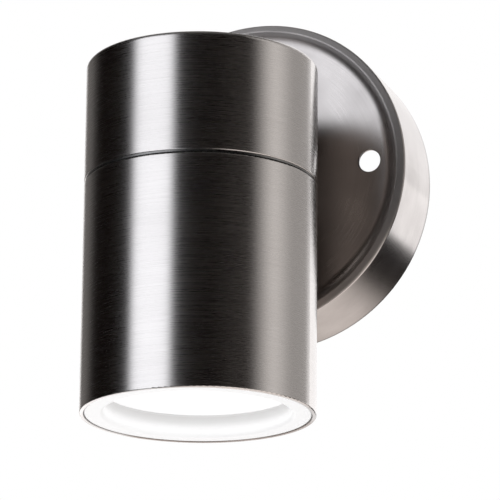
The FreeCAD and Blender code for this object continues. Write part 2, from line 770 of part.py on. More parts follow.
def make_upper_housing():
    """The closed upper length of the tube, drawn from sheet, with one hole at the back for the nipple."""
    body = new_body("upper_housing", True)
    outline = [("0", UPPER_EDGE), ("tube_radius", UPPER_EDGE), ("tube_radius", "tube_top"), ("0", "tube_top")]
    revolve(body, "cap", "XZ", outline)
    rim = ring_edges(body.Tip.Shape, "z", [("tube_radius", "tube_top")])
    round_edges(body, "top_round", rim, "top_edge_round")
    shell(body, "sheet", "z", [UPPER_EDGE], "housing_wall")
    hole = new_sketch(body, "hole", "XZ")
    draw_circle(hole, "0", "0", "nipple_radius + nipple_clearance")
    pocket(body, "hole", hole, "tube_radius + housing_wall")
    edge = ring_edges(body.Tip.Shape, "z", [("tube_radius", UPPER_EDGE)])
    round_edges(body, "edge_round", edge, "edge_round")


def make_threaded_collar():
    """Fixed in the upper length: a flange that shows in the seam and the male half of the screw joint."""
    body = new_body("threaded_collar", True)
    flange = "tube_radius - flange_inset"
    top = f"{UPPER_EDGE} + collar_height"
    outline = [
        ("collar_bore_radius", COLLAR_BOTTOM),
        ("thread_radius", COLLAR_BOTTOM),
        ("thread_radius", FLANGE_UNDER),
        (flange, FLANGE_UNDER),
        (flange, UPPER_EDGE),
        (TUBE_BORE, UPPER_EDGE),
        (TUBE_BORE, top),
        ("collar_bore_radius", top),
    ]
    revolve(body, "section", "XZ", outline)
    lead = ring_edges(body.Tip.Shape, "z", [("thread_radius", COLLAR_BOTTOM), (TUBE_BORE, top)])
    round_edges(body, "lead", lead, "collar_chamfer", "Chamfer")


def make_seal_ring():
    """A round-section ring in the seam, under the collar's flange."""
    body = new_body("seal_ring", True)
    sketch = new_sketch(body, "section", "XZ")
    level = f"{FLANGE_UNDER} - seal_gap - {SEAL_RADIUS}"
    draw_circle(sketch, f"{RING_INNER} + {SEAL_RADIUS}", level, SEAL_RADIUS)
    settings = {"Profile": sketch, "ReferenceAxis": (sketch, ["V_Axis"]), "Angle": "360"}
    add_feature(body, "Revolution", "section", settings)


def make_slip_washer():
    ring("slip_washer", RING_INNER, RING_OUTER, INSERT_TOP, SLIP_TOP)


def make_lower_housing():
    """The open lower length of the tube."""
    body = ring("lower_housing", TUBE_BORE, "tube_radius", TUBE_BOTTOM, LOWER_EDGE)
    edges = ring_edges(body.Tip.Shape, "z", [("tube_radius", TUBE_BOTTOM), ("tube_radius", LOWER_EDGE)])
    round_edges(body, "edge_round", edges, "edge_round")


def make_threaded_insert():
    """Fixed in the lower length: the female half of the screw joint."""
    bore = "thread_radius + thread_clearance"
    bottom = f"({COLLAR_BOTTOM} - insert_run_out)"
    body = ring("threaded_insert", bore, TUBE_BORE, bottom, INSERT_TOP)
    lead = ring_edges(body.Tip.Shape, "z", [(bore, bottom), (TUBE_BORE, bottom)])
    round_edges(body, "lead", lead, "collar_chamfer", "Chamfer")


# Lens -----------------------------------------------------------------------------------------------------------


def make_lens_bezel():
    """The white ring in the tube's mouth: a rounded aperture, a shelf for the lens, a groove for its clip."""
    body = new_body("lens_bezel", True)
    face_edge = f"{TUBE_BORE} - bezel_gap"
    relief = f"{BEZEL_FACE} + bezel_relief"
    top = f"{TUBE_BOTTOM} + bezel_height"
    groove = f"{LENS_SEAT} + clip_groove_depth"
    outline = [
        ("aperture_radius", BEZEL_FACE),
        (face_edge, BEZEL_FACE),
        (face_edge, relief),
        (TUBE_BORE, relief),
        (TUBE_BORE, top),
        (LENS_SEAT, top),
        (LENS_SEAT, f"{CLIP_TOP} + clip_clearance"),
        (groove, f"{CLIP_TOP} + clip_clearance"),
        (groove, LENS_TOP),
        (LENS_SEAT, LENS_TOP),
        (LENS_SEAT, LENS_SHELF),
        ("aperture_radius", LENS_SHELF),
    ]
    revolve(body, "section", "XZ", outline)
    mouth = ring_edges(body.Tip.Shape, "z", [("aperture_radius", BEZEL_FACE)])
    round_edges(body, "aperture_round", mouth, "aperture_round")
    rim = ring_edges(body.Tip.Shape, "z", [(face_edge, BEZEL_FACE)])
    round_edges(body, "rim_round", rim, "edge_round")


def make_lens_gasket():
    ring("lens_gasket", "aperture_radius + lens_clearance", "lens_radius", LENS_SHELF, LENS_FACE)


def make_lens_glass():
    body = new_body("lens_glass", True)
    outline = [("0", LENS_FACE), ("lens_radius", LENS_FACE), ("lens_radius", LENS_TOP), ("0", LENS_TOP)]
    revolve(body, "disc", "XZ", outline)
    edges = ring_edges(body.Tip.Shape, "z", [("lens_radius", LENS_FACE), ("lens_radius", LENS_TOP)])
    round_edges(body, "chamfer", edges, "lens_chamfer", "Chamfer")


def make_lens_clip():
    """A split spring ring that sits in the bezel's groove and holds the lens down."""
    body = new_body("lens_clip", True)
    outer = f"{LENS_SEAT} + clip_groove_depth - clip_clearance"
    outline = [
        ("clip_inner_radius", LENS_TOP),
        (outer, LENS_TOP),
        (outer, CLIP_TOP),
        ("clip_inner_radius", CLIP_TOP),
    ]
    revolve(body, "section", "XZ", outline, angle="clip_angle")


# Lamp -----------------------------------------------------------------------------------------------------------


def make_lamp_body():
    """The lamp's shell: a straight skirt, a flare and a neck, open at both ends."""
    body = new_body("lamp_body", True)
    skirt = f"{LAMP_FACE} + lamp_skirt"
    flare = f"{LAMP_NECK} - lamp_throat"
    outline = [
        ("0", LAMP_FACE),
        ("lamp_radius", LAMP_FACE),
        ("lamp_radius", skirt),
        ("lamp_neck_radius", flare),
        ("lamp_neck_radius", LAMP_NECK),
        ("0", LAMP_NECK),
    ]
    revolve(body, "form", "XZ", outline)
    bends = ring_edges(body.Tip.Shape, "z", [("lamp_radius", skirt)])
    round_edges(body, "skirt_round", bends, "lamp_flare_round")
    shell(body, "wall", "z", [LAMP_FACE, LAMP_NECK], "lamp_wall")


def make_lamp_base():
    """The moulded base that carries the pins, with a spigot in the shell's neck."""
    body = new_body("lamp_base", True)
    spigot = "lamp_neck_radius - lamp_wall"
    outline = [
        ("0", LAMP_SHOULDER),
        ("lamp_base_radius", LAMP_SHOULDER),
        ("lamp_neck_radius", f"{LAMP_SHOULDER} - lamp_base_slope"),
        ("lamp_neck_radius", LAMP_NECK),
        (spigot, LAMP_NECK),
        (spigot, f"{LAMP_NECK} - lamp_spigot"),
        ("0", f"{LAMP_NECK} - lamp_spigot"),
    ]
    revolve(body, "form", "XZ", outline)
    edge = ring_edges(body.Tip.Shape, "z", [("lamp_base_radius", LAMP_SHOULDER)])
    round_edges(body, "shoulder_round", edge, "lamp_base_slope / 4")


def make_lamp_pins():
    """Two headed pins on the lamp's base, in line with the wall's normal when locked."""
    body = new_body("lamp_pins", True)
    neck = new_sketch(body, "neck", "XY", LAMP_SHOULDER)
    draw_circle(neck, "0", "pin_circle_radius", "pin_radius")
    draw_circle(neck, "0", "-pin_circle_radius", "pin_radius")
    pad(body, "neck", neck, "pin_neck")
    head = new_sketch(body, "head", "XY", f"{LAMP_SHOULDER} + pin_neck")
    draw_circle(head, "0", "pin_circle_radius", "pin_head_radius")
    draw_circle(head, "0", "-pin_circle_radius", "pin_head_radius")
    pad(body, "head", head, "pin_length - pin_neck")
    tips = ring_edges(body.Tip.Shape, "z", [("pin_head_radius", f"{LAMP_SHOULDER} + pin_length")])
    round_edges(body, "tip_round", tips, "pin_round")


def make_lamp_lens():
    body = new_body("lamp_lens", True)
    radius = "lamp_radius - lamp_wall"
    top = f"{LAMP_FACE} + lamp_lens_thickness"
    revolve(body, "disc", "XZ", [("0", LAMP_FACE), (radius, LAMP_FACE), (radius, top), ("0", top)])


def make_led_board():
    body = new_body("led_board", True)
    radius = "lamp_radius - lamp_wall"
    top = f"{BOARD_LEVEL} + board_thickness"
    revolve(body, "disc", "XZ", [("0", BOARD_LEVEL), (radius, BOARD_LEVEL), (radius, top), ("0", top)])


def make_led_chips():
    """A circle of square chips on the board's lower face."""
    body = new_body("led_chips", True)
    sketch = new_sketch(body, "chip", "XY", f"{BOARD_LEVEL} - chip_thickness")
    inner = "chip_circle_radius - chip_width / 2"
    outer = "chip_circle_radius + chip_width / 2"
    draw_rectangle(sketch, inner, outer, "-chip_width / 2", "chip_width / 2")
    chip = pad(body, "chip", sketch, "chip_thickness")
    repeat_round(body, "circle", [chip], "chip_count")


# Lampholder -----------------------------------------------------------------------------------------------------


def cut_keyway(body, name, low, high, half_width, entry_radius):
    """Cut the way one pin follows: an arc about the tube's axis from the locked place to the entry."""
    arc = new_sketch(body, f"{name}_arc", "YZ")
    draw_rectangle(arc, f"pin_circle_radius - ({half_width})", f"pin_circle_radius + ({half_width})", low, high)
    settings = {
        "Profile": arc,
        "ReferenceAxis": (arc, ["V_Axis"]),
        "Angle": "lock_angle",
        "Reversed": True,
    }
    way = add_feature(body, "Groove", f"{name}_arc", settings, cuts=True)
    locked = new_sketch(body, f"{name}_locked", "XY", low)
    draw_circle(locked, "0", "pin_circle_radius", half_width)
    height = f"{high} - ({low})"
    rest = pocket(body, f"{name}_locked", locked, height, Reversed=True)
    entry = new_sketch(body, f"{name}_entry", "XY", low)
    turned_x = "pin_circle_radius * sin(lock_angle)"
    turned_y = "pin_circle_radius * cos(lock_angle)"
    draw_circle(entry, turned_x, turned_y, entry_radius)
    mouth = pocket(body, f"{name}_entry", entry, height, Reversed=True)
    return [way, rest, mouth]


def make_lampholder_base():
    """The ceramic half that takes the pins: two keyhole slots in its floor, a cavity over each."""
    body = new_body("lampholder_base", True)
    outline = [
        ("0", HOLDER_BOTTOM),
        ("holder_radius", HOLDER_BOTTOM),
        ("holder_radius", HOLDER_SPLIT),
        ("0", HOLDER_SPLIT),
    ]
    revolve(body, "form", "XZ", outline)
    edge = ring_edges(body.Tip.Shape, "z", [("holder_radius", HOLDER_BOTTOM)])
    round_edges(body, "edge_round", edge, "holder_edge_round")
    floor = f"{HOLDER_BOTTOM} + holder_floor"
    slot = "pin_radius + slot_clearance"
    entry = "pin_head_radius + entry_clearance"
    cavity = "pin_head_radius + cavity_clearance"
    ways = cut_keyway(body, "slot", HOLDER_BOTTOM, floor, slot, entry)
    ways += cut_keyway(body, "cavity", floor, HOLDER_SPLIT, cavity, cavity)
    repeat_round(body, "both", ways, "2")
    holes = new_sketch(body, "screw_holes", "XY", HOLDER_SPLIT)
    for side in ("", "-"):
        draw_circle(
            holes, f"{side}holder_screw_spacing / 2", "0", "holder_screw_radius + holder_screw_clearance"
        )
    pocket(body, "screw_holes", holes, "holder_base_height - holder_floor")


def make_lampholder_cover():
    """The ceramic lid, with a hole over each contact's tail."""
    body = new_body("lampholder_cover", True)
    outline = [
        ("0", HOLDER_SPLIT),
        ("holder_radius", HOLDER_SPLIT),
        ("holder_radius", HOLDER_TOP),
        ("0", HOLDER_TOP),
    ]
    revolve(body, "form", "XZ", outline)
    edge = ring_edges(body.Tip.Shape, "z", [("holder_radius", HOLDER_TOP)])
    round_edges(body, "edge_round", edge, "holder_edge_round")
    holes = new_sketch(body, "holes", "XY")
    for side in ("", "-"):
        draw_circle(holes, f"{side}wire_offset", f"{side}{TAIL_Y}", "wire_radius + wire_hole_clearance")
        draw_circle(
            holes, f"{side}holder_screw_spacing / 2", "0", "holder_screw_radius + holder_screw_clearance"
        )
    pocket(body, "holes", holes)


def make_holder_contacts():
    """Two spring leaves over the pin heads, each with a tail up to its wire."""
    body = new_body("holder_contacts", True)
    inner = "pin_circle_radius - contact_half_width"
    outer = "pin_circle_radius + contact_half_width"
    top = f"({CONTACT_LEVEL} + contact_thickness)"
    leaf = new_sketch(body, "leaf", "YZ")
    draw_rectangle(leaf, inner, outer, CONTACT_LEVEL, top)
    settings = {
        "Profile": leaf,
        "ReferenceAxis": (leaf, ["V_Axis"]),
        "Angle": "contact_angle",
        "Midplane": True,
    }
    blade = add_feature(body, "Revolution", "leaf", settings)
    tail = new_sketch(body, "tail", "XY", CONTACT_LEVEL)
    draw_circle(tail, "wire_offset", TAIL_Y, "contact_tail_radius")
    post = pad(body, "tail", tail, f"{HOLDER_SPLIT} - {CONTACT_LEVEL}")
    repeat_round(body, "both", [blade, post], "2")


def make_lampholder_screws():
    """Two pan-head screws from the bracket into the lampholder."""
    body = new_body("lampholder_screws", True)
    heads = new_sketch(body, "heads", "XY", BRACKET_TOP)
    shanks = new_sketch(body, "shanks", "XY", BRACKET_TOP)
    for side in ("", "-"):
        draw_circle(heads, f"{side}holder_screw_spacing / 2", "0", "holder_screw_head_radius")
        draw_circle(shanks, f"{side}holder_screw_spacing / 2", "0", "holder_screw_radius")
    pad(body, "heads", heads, "holder_screw_head_height")
    pad(body, "shanks", shanks, "holder_screw_length", Reversed=True)
    top = f"{BRACKET_TOP} + holder_screw_head_height"
    rims = ring_edges(body.Tip.Shape, "z", [("holder_screw_head_radius", top)])
    round_edges(body, "head_round", rims, "holder_screw_head_height / 3")


def make_holder_bracket():
    """A U of strip with outward feet under the closed top; the lampholder hangs from its floor."""
    body = new_body("holder_bracket", True)
    inner = "bracket_half_span"
    outer = "(bracket_half_span + bracket_sheet)"
    toe = f"({outer} + bracket_foot)"
    foot = f"{CAP} - bracket_sheet"
    outline = [
        (f"-{toe}", foot),
        (f"-{toe}", CAP),
        (f"-{inner}", CAP),
        (f"-{inner}", BRACKET_TOP),
        (inner, BRACKET_TOP),
        (inner, CAP),
        (toe, CAP),
        (toe, foot),
        (outer, foot),
        (outer, HOLDER_TOP),
        (f"-{outer}", HOLDER_TOP),
        (f"-{outer}", foot),
    ]
    sketch = new_sketch(body, "side", "XZ")
    draw_outline(sketch, outline)
    pad(body, "side", sketch, "bracket_width", Midplane=True)

    def bends(x_and_z):
        return [(f"{side}{x}", z) for x, z in x_and_z for side in ("", "-")]

    tight = straight_edges(body.Tip.Shape, "y", bends([(inner, BRACKET_TOP), (outer, foot)]))
    round_edges(body, "inner_bends", tight, "bracket_bend")
    wide = straight_edges(body.Tip.Shape, "y", bends([(outer, HOLDER_TOP), (inner, CAP)]))
    round_edges(body, "outer_bends", wide, "bracket_bend + bracket_sheet")
    holes = new_sketch(body, "holes", "XY")
    draw_circle(holes, "0", "0", "bracket_window_radius")
    for side in ("", "-"):
        draw_circle(
            holes, f"{side}holder_screw_spacing / 2", "0", "holder_screw_radius + holder_screw_clearance"
        )
    pocket(body, "holes", holes)


# Wires ----------------------------------------------------------------------------------------------------------


def rounded_path(points):
    """Straight runs joined by tangent arcs, each arc as large as its two runs allow."""
    edges = []
    start = points[0]
    for before, corner, after in zip(points, points[1:], points[2:]):
        back = (before - corner).normalize()
        ahead = (after - corner).normalize()
        reach = 0.45 * min(before.distanceToPoint(corner), after.distanceToPoint(corner))
        half_turn = (FreeCAD.Vector(back).negative()).getAngle(ahead) / 2
        radius = reach / math.tan(half_turn)
        into = corner + back * reach
        out = corner + ahead * reach
        bisector = (back + ahead).normalize()
        to_centre = (radius**2 + reach**2) ** 0.5
        middle = corner + bisector * (to_centre - radius)
        edges.append(Part.LineSegment(start, into).toShape())
        edges.append(Part.Arc(into, middle, out).toShape())
        start = out
    edges.append(Part.LineSegment(start, points[-1]).toShape())
    return Part.Wire(edges)


def make_wire(name, route):
    """A round insulated wire along a route of places given as expressions."""
    points = [FreeCAD.Vector(*(number(text) for text in place)) for place in route]
    path = rounded_path(points)
    radius = number("wire_radius")
    section = Part.Wire(Part.makeCircle(radius, points[0], points[1] - points[0]))
    wire = doc.addObject("Part::Feature", name)
    wire.Label = name
    wire.Shape = path.makePipeShell([section], True, False)
    wire.Placement = FreeCAD.Placement()
    expected = math.pi * radius**2 * path.Length
    if abs(wire.Shape.Volume - expected) > expected / 100:
        raise RuntimeError(f"{name}: {wire.Shape.Volume:.2f} mm3 instead of {expected:.2f}")
    parts.append(wire)


def make_lamp_wires():
    """Live and neutral: up from the lampholder, over the bracket, through the nipple to the terminals."""
    over = f"({BRACKET_TOP} + {CAP}) / 2"
    into_nipple = f"-{NIPPLE_FRONT} - wire_run_in"
    out_of_nipple = f"-{NIPPLE_BACK} + wire_run_in"
    pole = f"-{POLE_AXIS}"
    live = [
        ("-wire_offset", f"-axis_to_wall - {TAIL_Y}", HOLDER_SPLIT),
        ("-wire_offset", f"-axis_to_wall - {TAIL_Y}", over),
        ("-wire_offset", into_nipple, over),
        ("-wire_offset", into_nipple, "0"),
        ("-wire_offset", out_of_nipple, "0"),
        ("-pole_pitch", pole, "-wire_drop"),
        ("-pole_pitch", pole, WIRE_END),
    ]
    neutral = [
        ("wire_offset", f"-axis_to_wall + {TAIL_Y}", HOLDER_SPLIT),
        ("wire_offset", f"-axis_to_wall + {TAIL_Y}", over),
        ("wire_offset", into_nipple, over),
        ("wire_offset", into_nipple, "0"),
        ("wire_offset", out_of_nipple, "0"),
        ("0", pole, "-wire_drop"),
        ("0", pole, WIRE_END),
    ]
    make_wire("live_wire", live)
    make_wire("neutral_wire", neutral)


def make_earth_wire():
    """From the tag on the strip, down past the nut to the third terminal."""
    barrel = f"-({SEAT_BACK} - tag_barrel_radius)"
    side = "strip_width / 2 + earth_wire_reach"
    pole = f"-{POLE_AXIS}"
    route = [
        ("tag_radius + earth_wire_start", barrel, "earth_rise"),
        (side, barrel, "earth_rise"),
        (f"{side} + earth_wire_bulge", f"{barrel} + earth_wire_rise", "0"),
        ("pole_pitch", pole, "-wire_drop"),
        ("pole_pitch", pole, WIRE_END),
    ]
    make_wire("earth_wire", route)


# The whole light ------------------------------------------------------------------------------------------------

make_wall_plate()
make_wall_gasket()
make_arm_seal()
make_arm_spacer()
make_nipple()
make_nipple_bushes()
make_saddle_washer()
make_lock_washer("plate_lock_washer", PLATE_NUT)
make_lock_nut("plate_lock_nut", f"({PLATE_NUT} - nut_thickness)")
make_lock_washer("housing_lock_washer", SADDLE_FRONT)
make_lock_nut("housing_lock_nut", HOUSING_NUT)
make_terminal_strip()
make_terminal_block()
make_terminal_clamps()
make_terminal_screws()
make_block_screws()
make_earth_screw()
make_earth_tag()
make_upper_housing()
make_threaded_collar()
make_seal_ring()
make_slip_washer()
make_lower_housing()
make_threaded_insert()
make_lens_bezel()
make_lens_gasket()
make_lens_glass()
make_lens_clip()
make_lamp_body()
make_lamp_base()
make_lamp_pins()
make_lamp_lens()
make_led_board()
make_led_chips()
make_lampholder_base()
make_lampholder_cover()
make_holder_contacts()
make_lampholder_screws()
make_holder_bracket()
make_lamp_wires()
make_earth_wire()
doc.recompute()

for item in doc.Objects:
    if "Invalid" in item.State or "Error" in item.State:
        raise RuntimeError(f"{item.Name}: {item.State}")
for part in parts:
    if part.Shape.isNull() or not part.Shape.isValid():
        raise RuntimeError(f"{part.Label} has no valid shape")

os.makedirs("parts", exist_ok=True)
for part in parts:
    part.Shape.exportStep(f"parts/{part.Label}.step")
    print(f"{part.Label}: {len(part.Shape.Solids)} solid(s), {part.Shape.Volume:.1f} mm3")
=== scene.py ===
import math
from collections import namedtuple

import bpy
from mathutils import Matrix, Vector


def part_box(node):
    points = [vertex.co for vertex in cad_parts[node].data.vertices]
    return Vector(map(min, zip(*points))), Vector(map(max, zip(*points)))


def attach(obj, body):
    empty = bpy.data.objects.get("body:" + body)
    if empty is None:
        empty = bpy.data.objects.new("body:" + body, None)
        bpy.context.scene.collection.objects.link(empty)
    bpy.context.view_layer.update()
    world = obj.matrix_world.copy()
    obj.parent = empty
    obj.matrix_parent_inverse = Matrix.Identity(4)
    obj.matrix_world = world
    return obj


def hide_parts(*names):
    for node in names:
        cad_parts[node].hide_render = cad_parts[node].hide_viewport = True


# Looks of a brushed steel tube wall light. Metres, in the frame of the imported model: the wall is
# y = 0, the light stands on its -Y side and +Z is up.

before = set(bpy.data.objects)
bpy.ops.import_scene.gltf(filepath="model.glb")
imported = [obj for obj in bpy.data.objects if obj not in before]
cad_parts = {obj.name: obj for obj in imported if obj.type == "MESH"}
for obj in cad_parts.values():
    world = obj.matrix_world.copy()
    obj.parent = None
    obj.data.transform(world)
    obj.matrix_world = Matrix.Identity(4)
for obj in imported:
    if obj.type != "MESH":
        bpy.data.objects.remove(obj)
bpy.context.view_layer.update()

TUBE_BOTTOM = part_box("lower_housing")[0].z
TUBE_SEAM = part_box("lower_housing")[1].z
TUBE_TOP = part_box("upper_housing")[1].z
TUBE_AXIS = Vector((0, sum(corner.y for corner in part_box("lower_housing")) / 2, 0))
TUBE_MIDDLE = Vector((0, TUBE_AXIS.y, (TUBE_BOTTOM + TUBE_TOP) / 2))
LENS_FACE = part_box("lens_glass")[0].z
PLATE_AXIS = Vector((0, 0, 0))


# Camera -------------------------------------------------------------------------------------------

# The photograph's view: from below and to the right, with a long lens. The camera stands at an
# azimuth and elevation from the middle of the tube. Yaw and pitch turn it off that point, and roll
# turns it about its own line of sight.
CAMERA_AZIMUTH = math.radians(21.88)
CAMERA_ELEVATION = math.radians(-16.55)
CAMERA_DISTANCE = 0.92202
CAMERA_YAW = math.radians(-0.83)
CAMERA_PITCH = math.radians(0.15)
CAMERA_ROLL = math.radians(0.52)
SENSOR_WIDTH_MM = 36.0
FOCAL_LENGTH_MM = 259.2
CLIP_START = 0.01


def direction(azimuth, elevation):
    """From the object towards an azimuth and elevation: azimuth 0 is the front, 90 degrees is +X."""
    flat = math.cos(elevation)
    return Vector((math.sin(azimuth) * flat, -math.cos(azimuth) * flat, math.sin(elevation)))


def make_camera():
    data = bpy.data.cameras.new("camera")
    data.sensor_width = SENSOR_WIDTH_MM
    data.lens = FOCAL_LENGTH_MM
    data.clip_start = CLIP_START
    camera = bpy.data.objects.new("camera", data)
    bpy.context.scene.collection.objects.link(camera)
    back = direction(CAMERA_AZIMUTH + CAMERA_YAW, CAMERA_ELEVATION + CAMERA_PITCH)
    level_right = Vector((0, 0, 1)).cross(back).normalized()
    right = Matrix.Rotation(CAMERA_ROLL, 3, back) @ level_right
    up = back.cross(right)
    camera.matrix_world = Matrix((right, up, back)).transposed().to_4x4()
    place = TUBE_MIDDLE + CAMERA_DISTANCE * direction(CAMERA_AZIMUTH, CAMERA_ELEVATION)
    camera.matrix_world.translation = place
    bpy.context.scene.camera = camera


# Node helpers -------------------------------------------------------------------------------------


class Tree:
    """Short forms for building a node tree."""

    def __init__(self, tree):
        self.tree = tree
        tree.nodes.clear()

    def node(self, kind, inputs=None, **settings):
        node = self.tree.nodes.new(kind)
        for name, value in settings.items():
            setattr(node, name, value)
        for name, value in (inputs or {}).items():
            self.feed(node.inputs[name], value)
        return node

    def feed(self, socket, value):
        if isinstance(value, bpy.types.NodeSocket):
            self.tree.links.new(value, socket)
        else:
            socket.default_value = value

    def math(self, operation, *values):
        node = self.node("ShaderNodeMath", operation=operation)
        for socket, value in zip(node.inputs, values):
            self.feed(socket, value)
        return node.outputs[0]

    def vector(self, operation, *values, out=0):
        node = self.node("ShaderNodeVectorMath", operation=operation)
        sockets = [socket for socket in node.inputs if socket.enabled]
        for socket, value in zip(sockets, values):
            self.feed(socket, value)
        return node.outputs[out]

    def length(self, vector):
        return self.vector("LENGTH", vector, out="Value")

    def split(self, vector):
        return self.node("ShaderNodeSeparateXYZ", {"Vector": vector}).outputs

    def remap(self, value, low, high, to_low, to_high, smooth=False):
        node = self.node("ShaderNodeMapRange", interpolation_type="SMOOTHSTEP" if smooth else "LINEAR")
        for socket, number in zip(node.inputs, (value, low, high, to_low, to_high)):
            self.feed(socket, number)
        return node.outputs[0]

    def step(self, value, low, high):
        """From 0 at low to 1 at high, smoothly. low may be the larger of the two."""
        return self.remap(value, low, high, 0.0, 1.0, smooth=True)

    def mix(self, factor, first, second):
        node = self.node("ShaderNodeMix", data_type="RGBA")
        self.feed(node.inputs["Factor"], factor)
        self.feed(node.inputs["A"], first)
        self.feed(node.inputs["B"], second)
        return node.outputs["Result"]

    def place(self, centre=None):
        """The point on the surface in the row frame, or from a centre."""
        place = self.node("ShaderNodeTexCoord").outputs["Object"]
        return place if centre is None else self.vector("SUBTRACT", place, tuple(centre))

    def noise(self, place, scale, detail=2.0, roughness=0.5):
        inputs = {"Vector": place, "Scale": scale, "Detail": detail, "Roughness": roughness}
        return self.node("ShaderNodeTexNoise", inputs).outputs["Fac"]

    def blend(self, first, second, share):
        """Two numbers, the second with this share of the whole."""
        first = self.math("MULTIPLY", first, 1.0 - share)
        return self.math("ADD", first, self.math("MULTIPLY", second, share))

    def spread(self, noise, low, high, half=0.2):
        """Noise that keeps near its middle, stretched to run from low to high."""
        return self.remap(noise, 0.5 - half, 0.5 + half, low, high)

    def bump(self, height, strength, depth):
        inputs = {"Strength": strength, "Distance": depth, "Height": height}
        return self.node("ShaderNodeBump", inputs).outputs[0]

    def principled(self, **inputs):
        """The material's one shader. base_color=... feeds its Base Color socket, and so on."""
        names = {name.replace("_", " ").title(): value for name, value in inputs.items()}
        shader = self.node("ShaderNodeBsdfPrincipled", names)
        self.node("ShaderNodeOutputMaterial", {"Surface": shader.outputs[0]})


def grey(level):
    return (level, level, level, 1.0)


def tint(red, green, blue):
    return (red, green, blue, 1.0)


def new_material(name):
    material = bpy.data.materials.new(name)
    material.use_nodes = True
    return material, Tree(material.node_tree)


# Studio -------------------------------------------------------------------------------------------

COOL = (0.985, 0.995, 1.03)
WARM = (1.0, 0.95, 0.91)
WARMER = (1.0, 0.91, 0.85)
PALE = (1.0, 0.98, 0.975)

# The photograph's studio as the metal reflects it: soft-edged panels round a dark room. A panel
# reaches half_width to both sides of its azimuth, fading over side_fade, and from low to high,
# fading over end_fade. The angles are in degrees.
Panel = namedtuple("Panel", "azimuth half_width side_fade low high end_fade brightness hue")
PANELS = {
    "softbox": Panel(-26.9, 20.6, 5.0, -70, 38, 8, 1.6, COOL),
    "room_right": Panel(98.0, 14.0, 15.0, -4, 50, 5, 0.42, WARM),
    "room_right_wide": Panel(123.0, 37.0, 16.0, -4, 50, 3, 0.44, WARM),
    "room_left": Panel(-130.0, 18.0, 14.0, -40, 50, 14, 0.17, WARM),
    "backdrop_low": Panel(186.0, 33.0, 3.0, -3.5, 13, 0.8, 1.36, PALE),
    "backdrop_high": Panel(188.0, 31.0, 2.0, 13, 50, 0.8, 1.24, PALE),
    "mouth_back": Panel(-150.0, 10.0, 8.0, -34, -8, 5, 1.9, PALE),
    "table": Panel(126.0, 76.0, 8.0, -85, -20, 4.0, 1.12, WARMER),
}
ROOM = (0.006, 0.0042, 0.0036)
CEILING = (0.13, 0.125, 0.12)
CEILING_ELEVATION = 50
CEILING_FADE = 10
DIFFUSE_LIGHT = 0.86

# Keeps rounding from taking a cosine out of the range of the arc cosine.
COSINE_LIMIT = 0.999999


def panel_light(tree, panel, flat, elevation):
    """What a panel adds to the light from a direction, given by its level part and its elevation."""
    centre = tuple(direction(math.radians(panel.azimuth), 0))
    cosine = tree.math("MINIMUM", tree.vector("DOT_PRODUCT", flat, centre, out="Value"), COSINE_LIMIT)
    away = tree.math("DEGREES", tree.math("ARCCOSINE", tree.math("MAXIMUM", cosine, -COSINE_LIMIT)))
    edge, fade = panel.half_width, panel.side_fade
    across = tree.remap(away, edge + fade, edge - fade, 0.0, panel.brightness, smooth=True)
    over = tree.step(elevation, panel.low - panel.end_fade, panel.low + panel.end_fade)
    under = tree.step(elevation, panel.high + panel.end_fade, panel.high - panel.end_fade)
    strength = tree.math("MULTIPLY", across, tree.math("MULTIPLY", over, under))
    return tree.vector("SCALE", panel.hue, strength)


def make_world():
    """White to the camera and through glass, even light on matt surfaces, the studio in metal."""
    world = bpy.data.worlds.new("studio")
    bpy.context.scene.world = world
    world.use_nodes = True
    world.cycles.sampling_method = "NONE"
    tree = Tree(world.node_tree)
    way = tree.node("ShaderNodeTexCoord").outputs["Generated"]
    flat = tree.vector("NORMALIZE", tree.vector("MULTIPLY", way, (1, 1, 0)))
    elevation = tree.math("DEGREES", tree.math("ARCSINE", tree.split(way)["Z"]))
    seen = ROOM
    for panel in PANELS.values():
        seen = tree.vector("ADD", seen, panel_light(tree, panel, flat, elevation))
    ceiling = tree.step(elevation, CEILING_ELEVATION - CEILING_FADE, CEILING_ELEVATION + CEILING_FADE)
    seen = tree.vector("MAXIMUM", seen, tree.vector("SCALE", CEILING, ceiling))
    reflected = tree.node("ShaderNodeBackground", {"Color": seen, "Strength": 1.0}).outputs[0]
    plain = tree.node("ShaderNodeBackground", {"Color": grey(1.0), "Strength": DIFFUSE_LIGHT}).outputs[0]
    white = tree.node("ShaderNodeBackground", {"Color": grey(1.0), "Strength": 1.0}).outputs[0]
    ray = tree.node("ShaderNodeLightPath").outputs
    straight = tree.math("MAXIMUM", ray["Is Camera Ray"], ray["Is Transmission Ray"])
    lit = tree.node("ShaderNodeMixShader", {0: ray["Is Diffuse Ray"], 1: reflected, 2: plain}).outputs[0]
    shown = tree.node("ShaderNodeMixShader", {0: straight, 1: lit, 2: white}).outputs[0]
    tree.node("ShaderNodeOutputWorld", {"Surface": shown})


FLOOR_DROP = 0.42
FLOOR_RADIUS = 1.6
FLOOR_CORNERS = 96
FLOOR_FADE = (0.98 * FLOOR_RADIUS, 0.35 * FLOOR_RADIUS)


def floor_paper():
    """Pale paper that fades into the white towards its rim and is clear from underneath."""
    material, tree = new_material("floor_paper")
    place = tree.place()
    inside = tree.step(tree.length(place), *FLOOR_FADE)
    above = tree.math("SUBTRACT", 1.0, tree.node("ShaderNodeNewGeometry").outputs["Backfacing"])
    solid = tree.math("MULTIPLY", inside, above)
    colour = tree.mix(tree.noise(place, scale=400.0), grey(0.9), grey(0.93))
    paper = tree.node("ShaderNodeBsdfDiffuse", {"Color": colour}).outputs[0]
    clear = tree.node("ShaderNodeBsdfTransparent").outputs[0]
    mixed = tree.node("ShaderNodeMixShader", {0: solid, 1: clear, 2: paper}).outputs[0]
    tree.node("ShaderNodeOutputMaterial", {"Surface": mixed})
    return material


